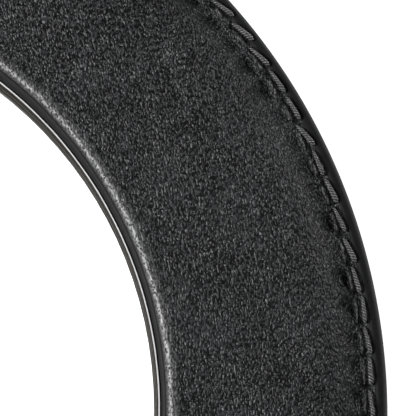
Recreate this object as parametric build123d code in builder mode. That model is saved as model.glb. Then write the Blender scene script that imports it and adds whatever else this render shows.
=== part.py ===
"""Saxophone neck strap with a padded crescent collar, drawn lying flat and face up.

Frame: +Z up, the suede side rests on Z = 0. +Y points to the back of the neck and the snap hook
hangs towards -Y. X = 0 is the strap's middle. The origin is the middle of the strap's footprint.
"""

import os
from math import asin, cos, degrees, radians, sin, sqrt, tan

from build123d import *

# ---- Driving dimensions, millimetres ----

# Collar outline
NECK_RADIUS = 66.0  # edge that goes round the neck
OUTER_RADIUS = 101.0
OUTER_SHIFT = 2.15  # outer arc's centre lies this far behind the neck's centre
LEG_DROP = 42.0  # legs end this far in front of the neck's centre
LEG_CORNER_R = 3.0

# Collar layers
LINING_T = 2.6
COVER_SETBACK = 1.15  # cover's inner wall stands back from the lining's edge
SKIN_T = 1.3
FLANGE_T = 1.5
FLANGE_W = 5.0
TONGUE_TOP = 5.6
TONGUE_L = 18.0
COLLAR_TOP = 8.2
CROWN_R = 2.2  # rounding of the padded body's edges
EDGE_R = 0.5
TONGUE_GAP = 0.5  # tongue's end to the leg's end
OVERLAP = 0.5  # how far a block runs into the one that it fuses with
CAP_CROWN = 0.8  # rounding of a rivet cap's rim, as a part of its thickness
STIFFENER_T = 0.8
FOAM_GAP = 0.1
PIPING_R = 0.44

# Saddle stitching round the outer edge
STITCH_INSET = 2.3
STITCH_PITCH = 4.93
STITCH_L = 4.3
THREAD_R = 0.5
STITCH_TILT = 8.0
STITCH_SETBACK = 7.0  # first and last stitch, back from the leg ends
GROOVE_W = 2.6
GROOVE_D = 0.3

# Folded leather and the bars that it turns round
BAR_Z = 3.0
FOLD_T = 2.6  # two plies
FOLD_OUTER_R = 2.9
FOLD_INNER_R = 1.6
FOLD_NECK = 6.2  # bar to where the two plies lie flat
WIRE_R = 1.5

# Leg tabs and their rings
TAB_X = 76.5
TAB_W = 14.0
TAB_GAP = 0.1
TAB_REACH = 6.5  # leg end to ring bar
RING_INNER_W = 17.0
RING_PITCH = 13.0  # bar to bar
RING_CORNER_R = 3.5

# Shoulder straps and the centre ring
STRAP_W = 13.0
STRAP_LEAD = 8.5
STRAP_BEND_R = 60.0
STRAP_ANGLE = 45.0
CENTRE_DROP = 19.0  # apex to base bar, and half the base bar
CENTRE_CORNER_R = 3.0

# Drop: billet with keyholes, strap with a stud, keeper
DROP_W = 16.0
BILLET_FOLD_L = 16.0
BILLET_L = 68.0
STUD_STRAP_TOP = 20.0  # base bar to the stud strap's upper end
STUD_STRAP_FOLD_L = 14.0
EYE_DROP = 85.0  # base bar to the swivel eye's bar
TIP_R = 5.0
KEYHOLE_FIRST = 27.0
KEYHOLE_PITCH = 7.0
KEYHOLE_COUNT = 5
KEYHOLE_R = 1.9
SLIT_W = 0.9
SLIT_L = 4.4
STUD_HOLE = 1  # which keyhole the stud stands in, from 0
STUD_NECK_R = 1.5
STUD_HEAD_R = 2.7
STUD_TOP = 7.6
STUD_CROWN_R = 2.2
STUD_SCREW_R = 0.9
STUD_SCREW_HEAD_R = 3.0
KEEPER_L = 6.0
KEEPER_T = 1.2
KEEPER_Y = 60.0  # base bar to the keeper's middle
KEEPER_GAP = 0.3
KEEPER_PLAY = 0.1

# Rivets
TAB_RIVET_CAP_R = 3.3
TAB_RIVET_CAP_T = 1.2
TAB_RIVET_FOOT_T = 0.6
TAB_RIVET_POST_R = 1.4
TAB_RIVET_SPACING = 8.0
TAB_RIVET_FIRST = 5.5  # leg end to the first rivet
STRAP_RIVET_CAP_R = 2.7
STRAP_RIVET_CAP_T = 0.9
STRAP_RIVET_FOOT_T = 0.7
STRAP_RIVET_POST_R = 1.1
RIVET_PLAY = 0.05
STRAP_RIVET_AT = 9.6  # bar to rivet

# Swivel and snap hook
EYE_PITCH = 12.0
EYE_WIRE_R = 1.4
EYE_SIDE_GAP = 1.5  # strap's edge to the eye's side
EYE_CORNER_R = 3.0
BOSS_R = 2.9
BOSS_L = 4.0  # below the eye's lower bar
BOSS_RISE = 1.9  # above it
POST_R = 1.3
POST_HEAD_R = 2.3
POST_HEAD_T = 1.4
SWIVEL_PLAY = 0.05
SWIVEL_GAP = 0.3
HOOK_T = 5.0
HOOK_EDGE_R = 0.8
HOOK_INNER_R = 5.5
HOOK_OUTER_R = 9.5
HOOK_NECK_L = 5.0
POST_SEAT = 4.5  # how far the post enters the hook
HOOK_PIN_DROP = 13.7  # hook's neck to the gate pin
HOOK_BOWL_DROP = 12.0  # gate pin to the bowl's centre
INNER_TOP_DROP = 2.0  # gate pin to the centre of the opening's upper round
NOSE_RISE = 1.2
GATE_W = 4.0
GATE_T = 4.0
GATE_TONGUE_T = 2.2
GATE_TONGUE_R = 2.4
GATE_END_GAP = 0.5
CHEEK_R = 2.7
CHEEK_SLOT_T = 2.6
CHEEK_SLOT_R = 3.2
GATE_PIN_R = 0.95
GATE_PLAY = 0.05
PIN_PLAY = 0.02
SPRING_R = 1.5
SPRING_WIRE_R = 0.2
SPRING_TURNS = 2
SPRING_PITCH = 0.5
SPRING_POCKET_R = 2.0
SPRING_POCKET_T = 1.6

# ---- Places that follow from them ----

SIDES = ((1, "right"), (-1, "left"))
ply_t = FOLD_T / 2
fold_low = BAR_Z - ply_t
fold_top = BAR_Z + ply_t

# Down the strap, measured from the neck's centre
upper_bar = -LEG_DROP - TAB_REACH
lower_bar = upper_bar - RING_PITCH
bend_tangent = STRAP_BEND_R * tan(radians(STRAP_ANGLE / 2))
bend_corner = lower_bar - STRAP_LEAD - bend_tangent
side_length = CENTRE_DROP * sqrt(2)
apex_trim = CENTRE_CORNER_R
base_trim = CENTRE_CORNER_R / tan(radians(STRAP_ANGLE / 2))
side_middle = (apex_trim + side_length - base_trim) / 2 / sqrt(2)
apex = bend_corner - (TAB_X - side_middle) + side_middle
base_bar = apex - CENTRE_DROP
eye_bar = base_bar - EYE_DROP
eye_low_bar = eye_bar - EYE_PITCH
boss_end = eye_low_bar - BOSS_L
neck_top = boss_end - SWIVEL_GAP
gate_pin_drop = neck_top - HOOK_PIN_DROP
bowl = gate_pin_drop - HOOK_BOWL_DROP
hook_end = bowl - HOOK_OUTER_R
collar_end = OUTER_SHIFT + OUTER_RADIUS

# The footprint's middle is the origin, so the neck's centre is this far back
NECK_Y = -(collar_end + hook_end) / 2


def along(drop):
    """Y of a place given from the neck's centre."""
    return NECK_Y + drop


OUTER_Y = along(OUTER_SHIFT)
LEG_END_Y = along(-LEG_DROP)
TONGUE_Y = along(-LEG_DROP + TONGUE_L)
UPPER_BAR_Y = along(upper_bar)
LOWER_BAR_Y = along(lower_bar)
BEND_Y = along(bend_corner)
APEX_Y = along(apex)
BASE_BAR_Y = along(base_bar)
EYE_Y = along(eye_bar)
EYE_LOW_Y = along(eye_low_bar)
BOSS_END_Y = along(boss_end)
HOOK_NECK_Y = along(neck_top)
GATE_PIN_X = HOOK_OUTER_R - GATE_W / 2
GATE_PIN_Y = along(gate_pin_drop)
BOWL_Y = along(bowl)
SIDE_MIDDLE = (side_middle, APEX_Y - side_middle)
STRAP_DIAGONAL = (cos(radians(STRAP_ANGLE)), sin(radians(STRAP_ANGLE)))
STUD_Y = BASE_BAR_Y - KEYHOLE_FIRST - STUD_HOLE * KEYHOLE_PITCH
KEEPER_MIDDLE_Y = BASE_BAR_Y - KEEPER_Y

TAB_RIVETS = [
    (side * TAB_X, LEG_END_Y + TAB_RIVET_FIRST + row * TAB_RIVET_SPACING)
    for side, _ in SIDES
    for row in range(2)
]
STRAP_RIVETS = [(side * TAB_X, LOWER_BAR_Y - STRAP_RIVET_AT) for side, _ in SIDES] + [
    (
        side * (SIDE_MIDDLE[0] + STRAP_RIVET_AT * STRAP_DIAGONAL[0]),
        SIDE_MIDDLE[1] + STRAP_RIVET_AT * STRAP_DIAGONAL[1],
    )
    for side, _ in SIDES
]
DROP_RIVETS = [(0, BASE_BAR_Y - STRAP_RIVET_AT), (0, EYE_Y + STRAP_RIVET_AT)]


# ---- Shared profiles ----


def collar_face(inner_gap, outer_gap, end_y):
    """Crescent between the neck edge and the outer arc, each moved into the leather by a gap."""
    inner_r = NECK_RADIUS + inner_gap
    outer_r = OUTER_RADIUS - outer_gap
    dip = degrees(asin((OUTER_Y - end_y) / outer_r))
    outer_x = outer_r * cos(radians(dip))
    with BuildSketch() as face:
        with BuildLine():
            CenterArc((0, OUTER_Y), outer_r, -dip, 180 + 2 * dip)
            Line((-outer_x, end_y), (-inner_r, end_y))
            Line((-inner_r, end_y), (-inner_r, NECK_Y))
            CenterArc((0, NECK_Y), inner_r, 180, -180)
            Line((inner_r, NECK_Y), (inner_r, end_y))
            Line((inner_r, end_y), (outer_x, end_y))
        make_face()
    return face.sketch


def leg_rounded_face(inner_gap):
    """Full crescent with the corners of both leg ends rounded."""
    with BuildSketch() as face:
        add(collar_face(inner_gap, 0, LEG_END_Y))
        fillet(face.vertices().group_by(Axis.Y)[0], LEG_CORNER_R)
    return face.sketch


def fold_eye():
    """Side view of leather turned round a bar at 0, 0, with its plies running off along +X."""
    with BuildSketch() as eye:
        Circle(FOLD_OUTER_R)
        with Locations((FOLD_NECK, 0)):
            Rectangle(OVERLAP, FOLD_T, align=(Align.MAX, Align.CENTER))
        make_hull()
        Circle(FOLD_INNER_R, mode=Mode.SUBTRACT)
    return eye.sketch


def eye_plane(x, y, direction):
    """Upright plane through a bar at x, y whose X runs off along the leather."""
    return Plane(
        origin=(x, y, BAR_Z), x_dir=direction, z_dir=Vector(*direction, 0).cross(Vector(0, 0, 1))
    )


def finish(piece, name):
    """Label a piece and write it under its own name."""
    piece.part.label = name
    export_step(piece.part, f"parts/{name}.step")


os.makedirs("parts", exist_ok=True)

# ---- Collar ----

# Suede lining: rests on Z = 0, recessed for the rivet feet below and for the tabs above.
with BuildPart() as lining:
    with BuildSketch():
        add(leg_rounded_face(0))
    extrude(amount=LINING_T)
    inner_edges = lining.edges().group_by(Axis.Z)[-1].filter_by(
        lambda edge: edge.geom_type == GeomType.CIRCLE and abs(edge.radius - NECK_RADIUS) < EDGE_R
    )
    inner_lines = lining.edges().group_by(Axis.Z)[-1].filter_by(Axis.Y)
    fillet(inner_edges + inner_lines, EDGE_R)
    with BuildSketch(Plane.XY.offset(fold_low)):
        with Locations(*[(side * TAB_X, LEG_END_Y) for side, _ in SIDES]):
            Rectangle(
                TAB_W + 2 * TAB_GAP, 2 * (TONGUE_L + SKIN_T), align=(Align.CENTER, Align.CENTER)
            )
    extrude(amount=LINING_T, mode=Mode.SUBTRACT)
    with BuildSketch():
        with Locations(*TAB_RIVETS):
            Circle(TAB_RIVET_CAP_R + TAB_GAP)
    extrude(amount=TAB_RIVET_FOOT_T, mode=Mode.SUBTRACT)
    with BuildSketch():
        with Locations(*TAB_RIVETS):
            Circle(TAB_RIVET_POST_R + RIVET_PLAY)
    extrude(amount=LINING_T, mode=Mode.SUBTRACT)
finish(lining, "lining_leather")

# Stiffener: flat sheet that keeps the crescent's shape, sealed inside the cover.
with BuildPart() as stiffener:
    with BuildSketch(Plane.XY.offset(LINING_T)):
        add(
            collar_face(
                COVER_SETBACK + SKIN_T + FOAM_GAP,
                FLANGE_W + SKIN_T + FOAM_GAP,
                TONGUE_Y + SKIN_T + FOAM_GAP,
            )
        )
    extrude(amount=STIFFENER_T)
finish(stiffener, "stiffener_plate")

# Padding: foam on the stiffener, sealed inside the cover.
with BuildPart() as padding:
    with BuildSketch(Plane.XY.offset(LINING_T + STIFFENER_T)):
        add(
            collar_face(
                COVER_SETBACK + SKIN_T + FOAM_GAP,
                FLANGE_W + SKIN_T + FOAM_GAP,
                TONGUE_Y + SKIN_T + FOAM_GAP,
            )
        )
    extrude(amount=COLLAR_TOP - SKIN_T - FOAM_GAP - LINING_T - STIFFENER_T)
finish(padding, "padding_core")

# Cover: flat sewn flange outside, padded body inside, lower tongues at the leg ends.
with BuildPart() as cover:
    with BuildSketch(Plane.XY.offset(LINING_T)):
        add(leg_rounded_face(COVER_SETBACK))
    extrude(amount=FLANGE_T)
    with BuildSketch(Plane.XY.offset(LINING_T)):
        add(collar_face(COVER_SETBACK, FLANGE_W, TONGUE_Y))
    extrude(amount=COLLAR_TOP - LINING_T)
    fillet(cover.edges().group_by(Axis.Z)[-1], CROWN_R)
    with BuildSketch(Plane.XY.offset(LINING_T)):
        with BuildLine():
            tongue_r = OUTER_RADIUS - FLANGE_W
            low_dip = degrees(asin((OUTER_Y - LEG_END_Y - TONGUE_GAP) / tongue_r))
            high_dip = degrees(asin((OUTER_Y - TONGUE_Y - SKIN_T) / tongue_r))
            rim = CenterArc((0, OUTER_Y), tongue_r, -low_dip, low_dip - high_dip)
            wall_x = NECK_RADIUS + COVER_SETBACK
            Polyline(rim @ 1, (wall_x, (rim @ 1).Y), (wall_x, (rim @ 0).Y), rim @ 0)
        make_face()
        mirror(about=Plane.YZ)
    extrude(amount=TONGUE_TOP - LINING_T)
    with BuildSketch(Plane.XY.offset(LINING_T)):
        add(collar_face(COVER_SETBACK + SKIN_T, FLANGE_W + SKIN_T, TONGUE_Y + SKIN_T))
    extrude(amount=COLLAR_TOP - SKIN_T - LINING_T, mode=Mode.SUBTRACT)
    with BuildSketch(Plane.XY.offset(LINING_T)):
        with Locations(*[(side * TAB_X, LEG_END_Y) for side, _ in SIDES]):
            Rectangle(TAB_W + 2 * TAB_GAP, 2 * (TONGUE_L + SKIN_T))
    extrude(amount=fold_top + TAB_GAP - LINING_T, mode=Mode.SUBTRACT)
    stitch_r = OUTER_RADIUS - STITCH_INSET
    stitch_dip = degrees(asin((OUTER_Y - LEG_END_Y - STITCH_SETBACK) / stitch_r))
    groove_dip = stitch_dip + degrees(STITCH_L / 2 / stitch_r)
    with BuildLine(mode=Mode.PRIVATE) as groove_line:
        CenterArc((0, OUTER_Y), stitch_r, -groove_dip, 180 + 2 * groove_dip)
    with BuildSketch(Plane.XY.offset(LINING_T + FLANGE_T - GROOVE_D)):
        SlotArc(groove_line.edge(), GROOVE_W)
    extrude(amount=GROOVE_D, mode=Mode.SUBTRACT)
    with BuildSketch(Plane.XY.offset(LINING_T)):
        with Locations(*TAB_RIVETS):
            Circle(TAB_RIVET_POST_R + RIVET_PLAY)
    extrude(amount=COLLAR_TOP, mode=Mode.SUBTRACT)
finish(cover, "cover_leather")

# Piping: round bead along the neck edge, lying on the lining against the cover's wall.
with BuildPart() as piping:
    bead_r = NECK_RADIUS + COVER_SETBACK - PIPING_R
    with BuildLine(Plane.XY.offset(LINING_T + PIPING_R)) as bead_path:
        Line((bead_r, LEG_END_Y + LEG_CORNER_R), (bead_r, NECK_Y))
        CenterArc((0, NECK_Y), bead_r, 0, 180)
        Line((-bead_r, NECK_Y), (-bead_r, LEG_END_Y + LEG_CORNER_R))
    with BuildSketch(Plane(bead_path.line @ 0, z_dir=bead_path.line % 0)):
        Circle(PIPING_R)
    sweep()
finish(piping, "edge_piping")

# Saddle stitches: one slanted length of thread for each pitch, lying in the cover's groove.
with BuildPart() as thread:
    with BuildSketch():
        SlotOverall(STITCH_L, 2 * THREAD_R)
        with Locations((0, -THREAD_R)):
            Rectangle(STITCH_L, 2 * THREAD_R, mode=Mode.SUBTRACT)
    revolve(axis=Axis.X)
stitch_arc = radians(180 + 2 * stitch_dip)
stitch_gaps = round(stitch_arc * stitch_r / STITCH_PITCH)
with BuildPart(Plane((0, OUTER_Y, LINING_T + FLANGE_T - GROOVE_D + THREAD_R))) as stitching:
    with PolarLocations(stitch_r, stitch_gaps + 1, -stitch_dip, degrees(stitch_arc), endpoint=True):
        add(thread.part, rotation=(0, 0, 90 + STITCH_TILT))
finish(stitching, "edge_stitching")

# Leg tabs: leather folded round the ring's upper bar, its end riveted into the collar's leg.
for side, name in SIDES:
    with BuildPart() as tab:
        with BuildSketch(eye_plane(side * TAB_X, UPPER_BAR_Y, (0, 1))):
            add(fold_eye())
            with Locations((FOLD_NECK - OVERLAP, 0)):
                Rectangle(
                    TAB_REACH + TONGUE_L - FOLD_NECK + OVERLAP,
                    FOLD_T,
                    align=(Align.MIN, Align.CENTER),
                )
        extrude(amount=TAB_W / 2, both=True)
        with BuildSketch(Plane.XY):
            with Locations(*[place for place in TAB_RIVETS if place[0] * side > 0]):
                Circle(TAB_RIVET_POST_R + RIVET_PLAY)
        extrude(amount=COLLAR_TOP, mode=Mode.SUBTRACT)
    finish(tab, f"{name}_tab")

# Tab rivets: feet with posts below, domed caps above.
with BuildPart() as tab_studs:
    with BuildSketch():
        with Locations(*TAB_RIVETS):
            Circle(TAB_RIVET_CAP_R)
    extrude(amount=TAB_RIVET_FOOT_T)
    with BuildSketch():
        with Locations(*TAB_RIVETS):
            Circle(TAB_RIVET_POST_R)
    extrude(amount=TONGUE_TOP)
finish(tab_studs, "tab_rivet_studs")

with BuildPart() as tab_caps:
    with BuildSketch(Plane.XY.offset(TONGUE_TOP)):
        with Locations(*TAB_RIVETS):
            Circle(TAB_RIVET_CAP_R)
    extrude(amount=TAB_RIVET_CAP_T)
    fillet(tab_caps.edges().group_by(Axis.Z)[-1], CAP_CROWN * TAB_RIVET_CAP_T)
finish(tab_caps, "tab_rivet_caps")

# ---- Rings ----

for side, name in SIDES:
    with BuildPart() as ring:
        half_w = RING_INNER_W / 2 + WIRE_R
        with BuildLine(Plane.XY.offset(BAR_Z)) as ring_path:
            FilletPolyline(
                (side * TAB_X + half_w, UPPER_BAR_Y),
                (side * TAB_X + half_w, LOWER_BAR_Y),
                (side * TAB_X - half_w, LOWER_BAR_Y),
                (side * TAB_X - half_w, UPPER_BAR_Y),
                radius=RING_CORNER_R,
                close=True,
            )
        with BuildSketch(Plane(ring_path.line @ 0, z_dir=ring_path.line % 0)):
            Circle(WIRE_R)
        sweep()
    finish(ring, f"{name}_ring")

# Centre ring: triangle whose two upper sides stand square to the shoulder straps.
with BuildPart() as centre_ring:
    with BuildLine(Plane.XY.offset(BAR_Z)) as triangle:
        FilletPolyline(
            (CENTRE_DROP, BASE_BAR_Y),
            (0, APEX_Y),
            (-CENTRE_DROP, BASE_BAR_Y),
            radius=CENTRE_CORNER_R,
            close=True,
        )
    with BuildSketch(Plane(triangle.line @ 0, z_dir=triangle.line % 0)):
        Circle(WIRE_R)
    sweep()
finish(centre_ring, "centre_ring")

# ---- Shoulder straps ----

for side, name in SIDES:
    with BuildPart() as strap:
        run_in = (side * STRAP_DIAGONAL[0], STRAP_DIAGONAL[1])
        ring_start = (side * TAB_X, LOWER_BAR_Y - FOLD_NECK + OVERLAP)
        centre_start = (
            side * SIDE_MIDDLE[0] + (FOLD_NECK - OVERLAP) * run_in[0],
            SIDE_MIDDLE[1] + (FOLD_NECK - OVERLAP) * run_in[1],
        )
        with BuildSketch(Plane.XY.offset(fold_low)):
            with BuildLine():
                FilletPolyline(
                    ring_start, (side * TAB_X, BEND_Y), centre_start, radius=STRAP_BEND_R
                )
            trace(line_width=STRAP_W)
        extrude(amount=FOLD_T)
        with BuildSketch(eye_plane(side * TAB_X, LOWER_BAR_Y, (0, -1))):
            add(fold_eye())
        extrude(amount=STRAP_W / 2, both=True)
        with BuildSketch(eye_plane(side * SIDE_MIDDLE[0], SIDE_MIDDLE[1], run_in)):
            add(fold_eye())
        extrude(amount=STRAP_W / 2, both=True)
        with BuildSketch():
            with Locations(*[place for place in STRAP_RIVETS if place[0] * side > 0]):
                Circle(STRAP_RIVET_POST_R + RIVET_PLAY)
        extrude(amount=COLLAR_TOP, mode=Mode.SUBTRACT)
    finish(strap, f"{name}_strap")

# ---- Drop ----

# Billet: folded round the base bar, then a single upper ply with keyholes and a round tip.
with BuildPart() as billet:
    with BuildSketch(eye_plane(0, BASE_BAR_Y, (0, -1))):
        add(fold_eye())
        with Locations((FOLD_NECK - OVERLAP, 0)):
            Rectangle(
                BILLET_FOLD_L - FOLD_NECK + OVERLAP, FOLD_T, align=(Align.MIN, Align.CENTER)
            )
    extrude(amount=DROP_W / 2, both=True)
    with BuildSketch(Plane.XY.offset(BAR_Z)):
        with Locations((0, BASE_BAR_Y - BILLET_FOLD_L + OVERLAP)):
            Rectangle(DROP_W, BILLET_L - BILLET_FOLD_L + OVERLAP, align=(Align.CENTER, Align.MAX))
    extrude(amount=ply_t)
    fillet(billet.edges().filter_by(Axis.Z).group_by(Axis.Y)[0], TIP_R)
    with BuildSketch(Plane.XY.offset(BAR_Z)):
        first_hole = BASE_BAR_Y - KEYHOLE_FIRST
        for hole in range(KEYHOLE_COUNT):
            with Locations((0, first_hole - hole * KEYHOLE_PITCH)):
                Circle(KEYHOLE_R)
                Rectangle(SLIT_W, SLIT_L, align=(Align.CENTER, Align.MIN))
    extrude(amount=ply_t, mode=Mode.SUBTRACT)
    with BuildSketch():
        with Locations(DROP_RIVETS[0]):
            Circle(STRAP_RIVET_POST_R + RIVET_PLAY)
    extrude(amount=COLLAR_TOP, mode=Mode.SUBTRACT)
finish(billet, "billet_strap")

# Stud strap: folded round the swivel eye's bar, its single lower ply runs up under the billet.
with BuildPart() as stud_strap:
    with BuildSketch(eye_plane(0, EYE_Y, (0, 1))):
        add(fold_eye())
        with Locations((FOLD_NECK - OVERLAP, 0)):
            Rectangle(
                STUD_STRAP_FOLD_L - FOLD_NECK + OVERLAP, FOLD_T, align=(Align.MIN, Align.CENTER)
            )
    extrude(amount=DROP_W / 2, both=True)
    with BuildSketch(Plane.XY.offset(fold_low)):
        with Locations((0, BASE_BAR_Y - STUD_STRAP_TOP)):
            Rectangle(
                DROP_W,
                EYE_DROP - STUD_STRAP_TOP - STUD_STRAP_FOLD_L + OVERLAP,
                align=(Align.CENTER, Align.MAX),
            )
    extrude(amount=ply_t)
    fillet(stud_strap.edges().filter_by(Axis.Z).group_by(Axis.Y)[-1], TIP_R)
    with BuildSketch():
        with Locations((0, STUD_Y)):
            Circle(STUD_SCREW_R + RIVET_PLAY)
        with Locations(DROP_RIVETS[1]):
            Circle(STRAP_RIVET_POST_R + RIVET_PLAY)
    extrude(amount=COLLAR_TOP, mode=Mode.SUBTRACT)
finish(stud_strap, "stud_strap")

# Stud: turned button that stands through a keyhole, tapped from below.
with BuildPart() as stud:
    with BuildSketch(Plane.XY.offset(BAR_Z)):
        with Locations((0, STUD_Y)):
            Circle(STUD_NECK_R)
    extrude(amount=STUD_TOP - BAR_Z)
    with BuildSketch(Plane.XY.offset(fold_top + KEEPER_PLAY)):
        with Locations((0, STUD_Y)):
            Circle(STUD_HEAD_R)
    extrude(amount=STUD_TOP - fold_top - KEEPER_PLAY)
    fillet(stud.edges().group_by(Axis.Z)[-1], STUD_CROWN_R)
    with BuildSketch(Plane.XY.offset(BAR_Z)):
        with Locations((0, STUD_Y)):
            Circle(STUD_SCREW_R + PIN_PLAY)
    extrude(amount=FOLD_T, mode=Mode.SUBTRACT)
finish(stud, "adjuster_stud")

# Stud screw: pan head under the strap, with a slot, shank up into the stud.
with BuildPart() as stud_screw:
    with BuildSketch(Plane.XY.offset(fold_low - STRAP_RIVET_FOOT_T)):
        with Locations((0, STUD_Y)):
            Circle(STUD_SCREW_HEAD_R)
    extrude(amount=STRAP_RIVET_FOOT_T)
    with BuildSketch(Plane.XY.offset(fold_low)):
        with Locations((0, STUD_Y)):
            Circle(STUD_SCREW_R)
    extrude(amount=FOLD_T)
    with BuildSketch(Plane.XY.offset(fold_low - STRAP_RIVET_FOOT_T)):
        with Locations((0, STUD_Y)):
            Rectangle(2 * STUD_SCREW_HEAD_R, SLIT_W)
    extrude(amount=STRAP_RIVET_FOOT_T / 2, mode=Mode.SUBTRACT)
finish(stud_screw, "stud_screw")

# Keeper: leather band round both plies, holding the billet's tip down.
with BuildPart() as keeper:
    with BuildSketch(Plane.XZ.offset(-KEEPER_MIDDLE_Y)):
        with Locations((0, BAR_Z)):
            RectangleRounded(
                DROP_W + 2 * (KEEPER_GAP + KEEPER_T),
                FOLD_T + 2 * (KEEPER_PLAY + KEEPER_T),
                KEEPER_T,
            )
            Rectangle(
                DROP_W + 2 * KEEPER_GAP, FOLD_T + 2 * KEEPER_PLAY, mode=Mode.SUBTRACT
            )
    extrude(amount=KEEPER_L / 2, both=True)
finish(keeper, "keeper_loop")

# Strap and drop rivets: feet with posts below, domed caps above.
for name, places in (("strap", STRAP_RIVETS), ("drop", DROP_RIVETS)):
    with BuildPart() as rivet_studs:
        with BuildSketch(Plane.XY.offset(fold_low - STRAP_RIVET_FOOT_T)):
            with Locations(*places):
                Circle(STRAP_RIVET_CAP_R)
        extrude(amount=STRAP_RIVET_FOOT_T)
        with BuildSketch(Plane.XY.offset(fold_low)):
            with Locations(*places):
                Circle(STRAP_RIVET_POST_R)
        extrude(amount=FOLD_T)
    finish(rivet_studs, f"{name}_rivet_studs")
    with BuildPart() as rivet_caps:
        with BuildSketch(Plane.XY.offset(fold_top)):
            with Locations(*places):
                Circle(STRAP_RIVET_CAP_R)
        extrude(amount=STRAP_RIVET_CAP_T)
        fillet(rivet_caps.edges().group_by(Axis.Z)[-1], CAP_CROWN * STRAP_RIVET_CAP_T)
    finish(rivet_caps, f"{name}_rivet_caps")

# ---- Swivel and snap hook ----

# Eye: rounded wire frame with a bored boss below its lower bar.
with BuildPart() as eye:
    eye_half = DROP_W / 2 + EYE_SIDE_GAP + EYE_WIRE_R
    with BuildLine(Plane.XY.offset(BAR_Z)) as eye_path:
        FilletPolyline(
            (eye_half, EYE_Y),
            (eye_half, EYE_LOW_Y),
            (-eye_half, EYE_LOW_Y),
            (-eye_half, EYE_Y),
            radius=EYE_CORNER_R,
            close=True,
        )
    with BuildSketch(Plane(eye_path.line @ 0, z_dir=eye_path.line % 0)):
        Circle(EYE_WIRE_R)
    sweep()
    with BuildSketch(Plane((0, BOSS_END_Y, BAR_Z), z_dir=(0, 1, 0))):
        Circle(BOSS_R)
    extrude(amount=BOSS_L + BOSS_RISE)
    with BuildSketch(Plane((0, BOSS_END_Y, BAR_Z), z_dir=(0, 1, 0))):
        Circle(POST_R + SWIVEL_PLAY)
    extrude(amount=BOSS_L + BOSS_RISE, mode=Mode.SUBTRACT)
finish(eye, "swivel_eye")

# Post: headed pin that turns in the boss and is fixed in the hook's neck.
with BuildPart() as post:
    head_y = EYE_LOW_Y + BOSS_RISE + SWIVEL_PLAY
    with BuildSketch(Plane((0, head_y, BAR_Z), z_dir=(0, 1, 0))):
        Circle(POST_HEAD_R)
    extrude(amount=POST_HEAD_T)
    fillet(post.edges().group_by(Axis.Y)[-1], POST_HEAD_T / 2)
    with BuildSketch(Plane((0, HOOK_NECK_Y - POST_SEAT, BAR_Z), z_dir=(0, 1, 0))):
        Circle(POST_R)
    extrude(amount=head_y - HOOK_NECK_Y + POST_SEAT)
finish(post, "swivel_post")

# Hook: cast loop open on one side, with two cheeks for the gate and a round neck.
with BuildPart() as hook:
    loop_top = GATE_PIN_Y - INNER_TOP_DROP
    loop_height = GATE_PIN_Y - BOWL_Y + 2 * HOOK_OUTER_R
    opening_height = loop_top - BOWL_Y + 2 * HOOK_INNER_R
    with BuildSketch(Plane.XY.offset(BAR_Z - HOOK_T / 2)):
        with Locations((0, (GATE_PIN_Y + BOWL_Y) / 2)):
            SlotOverall(loop_height, 2 * HOOK_OUTER_R, rotation=90)
        with Locations((0, (loop_top + BOWL_Y) / 2)):
            SlotOverall(opening_height, 2 * HOOK_INNER_R, rotation=90, mode=Mode.SUBTRACT)
    extrude(amount=HOOK_T)
    fillet(hook.edges().filter_by(Plane.XY), HOOK_EDGE_R)
    with BuildSketch(Plane.XY.offset(BAR_Z - HOOK_T / 2)):
        with Locations((HOOK_INNER_R / 2, GATE_PIN_Y)):
            Rectangle(
                HOOK_OUTER_R, GATE_PIN_Y - BOWL_Y - NOSE_RISE, align=(Align.MIN, Align.MAX)
            )
    extrude(amount=HOOK_T, mode=Mode.SUBTRACT)
    with BuildSketch(Plane.XY.offset(BAR_Z - HOOK_T / 2)):
        with Locations((GATE_PIN_X, GATE_PIN_Y)):
            Circle(CHEEK_R)
    extrude(amount=HOOK_T)
    with BuildSketch(Plane((0, HOOK_NECK_Y, BAR_Z), z_dir=(0, -1, 0))):
        Circle(BOSS_R)
    extrude(amount=HOOK_NECK_L)
    with BuildSketch(Plane((0, HOOK_NECK_Y, BAR_Z), z_dir=(0, -1, 0))):
        Circle(POST_R + PIN_PLAY)
    extrude(amount=POST_SEAT, mode=Mode.SUBTRACT)
    with BuildSketch(Plane.XY.offset(BAR_Z - CHEEK_SLOT_T / 2)):
        with Locations((GATE_PIN_X, GATE_PIN_Y)):
            Circle(CHEEK_SLOT_R)
    extrude(amount=CHEEK_SLOT_T, mode=Mode.SUBTRACT)
    with BuildSketch():
        with Locations((GATE_PIN_X, GATE_PIN_Y)):
            Circle(GATE_PIN_R + PIN_PLAY)
    extrude(amount=COLLAR_TOP, mode=Mode.SUBTRACT)
finish(hook, "hook_body")

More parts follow.
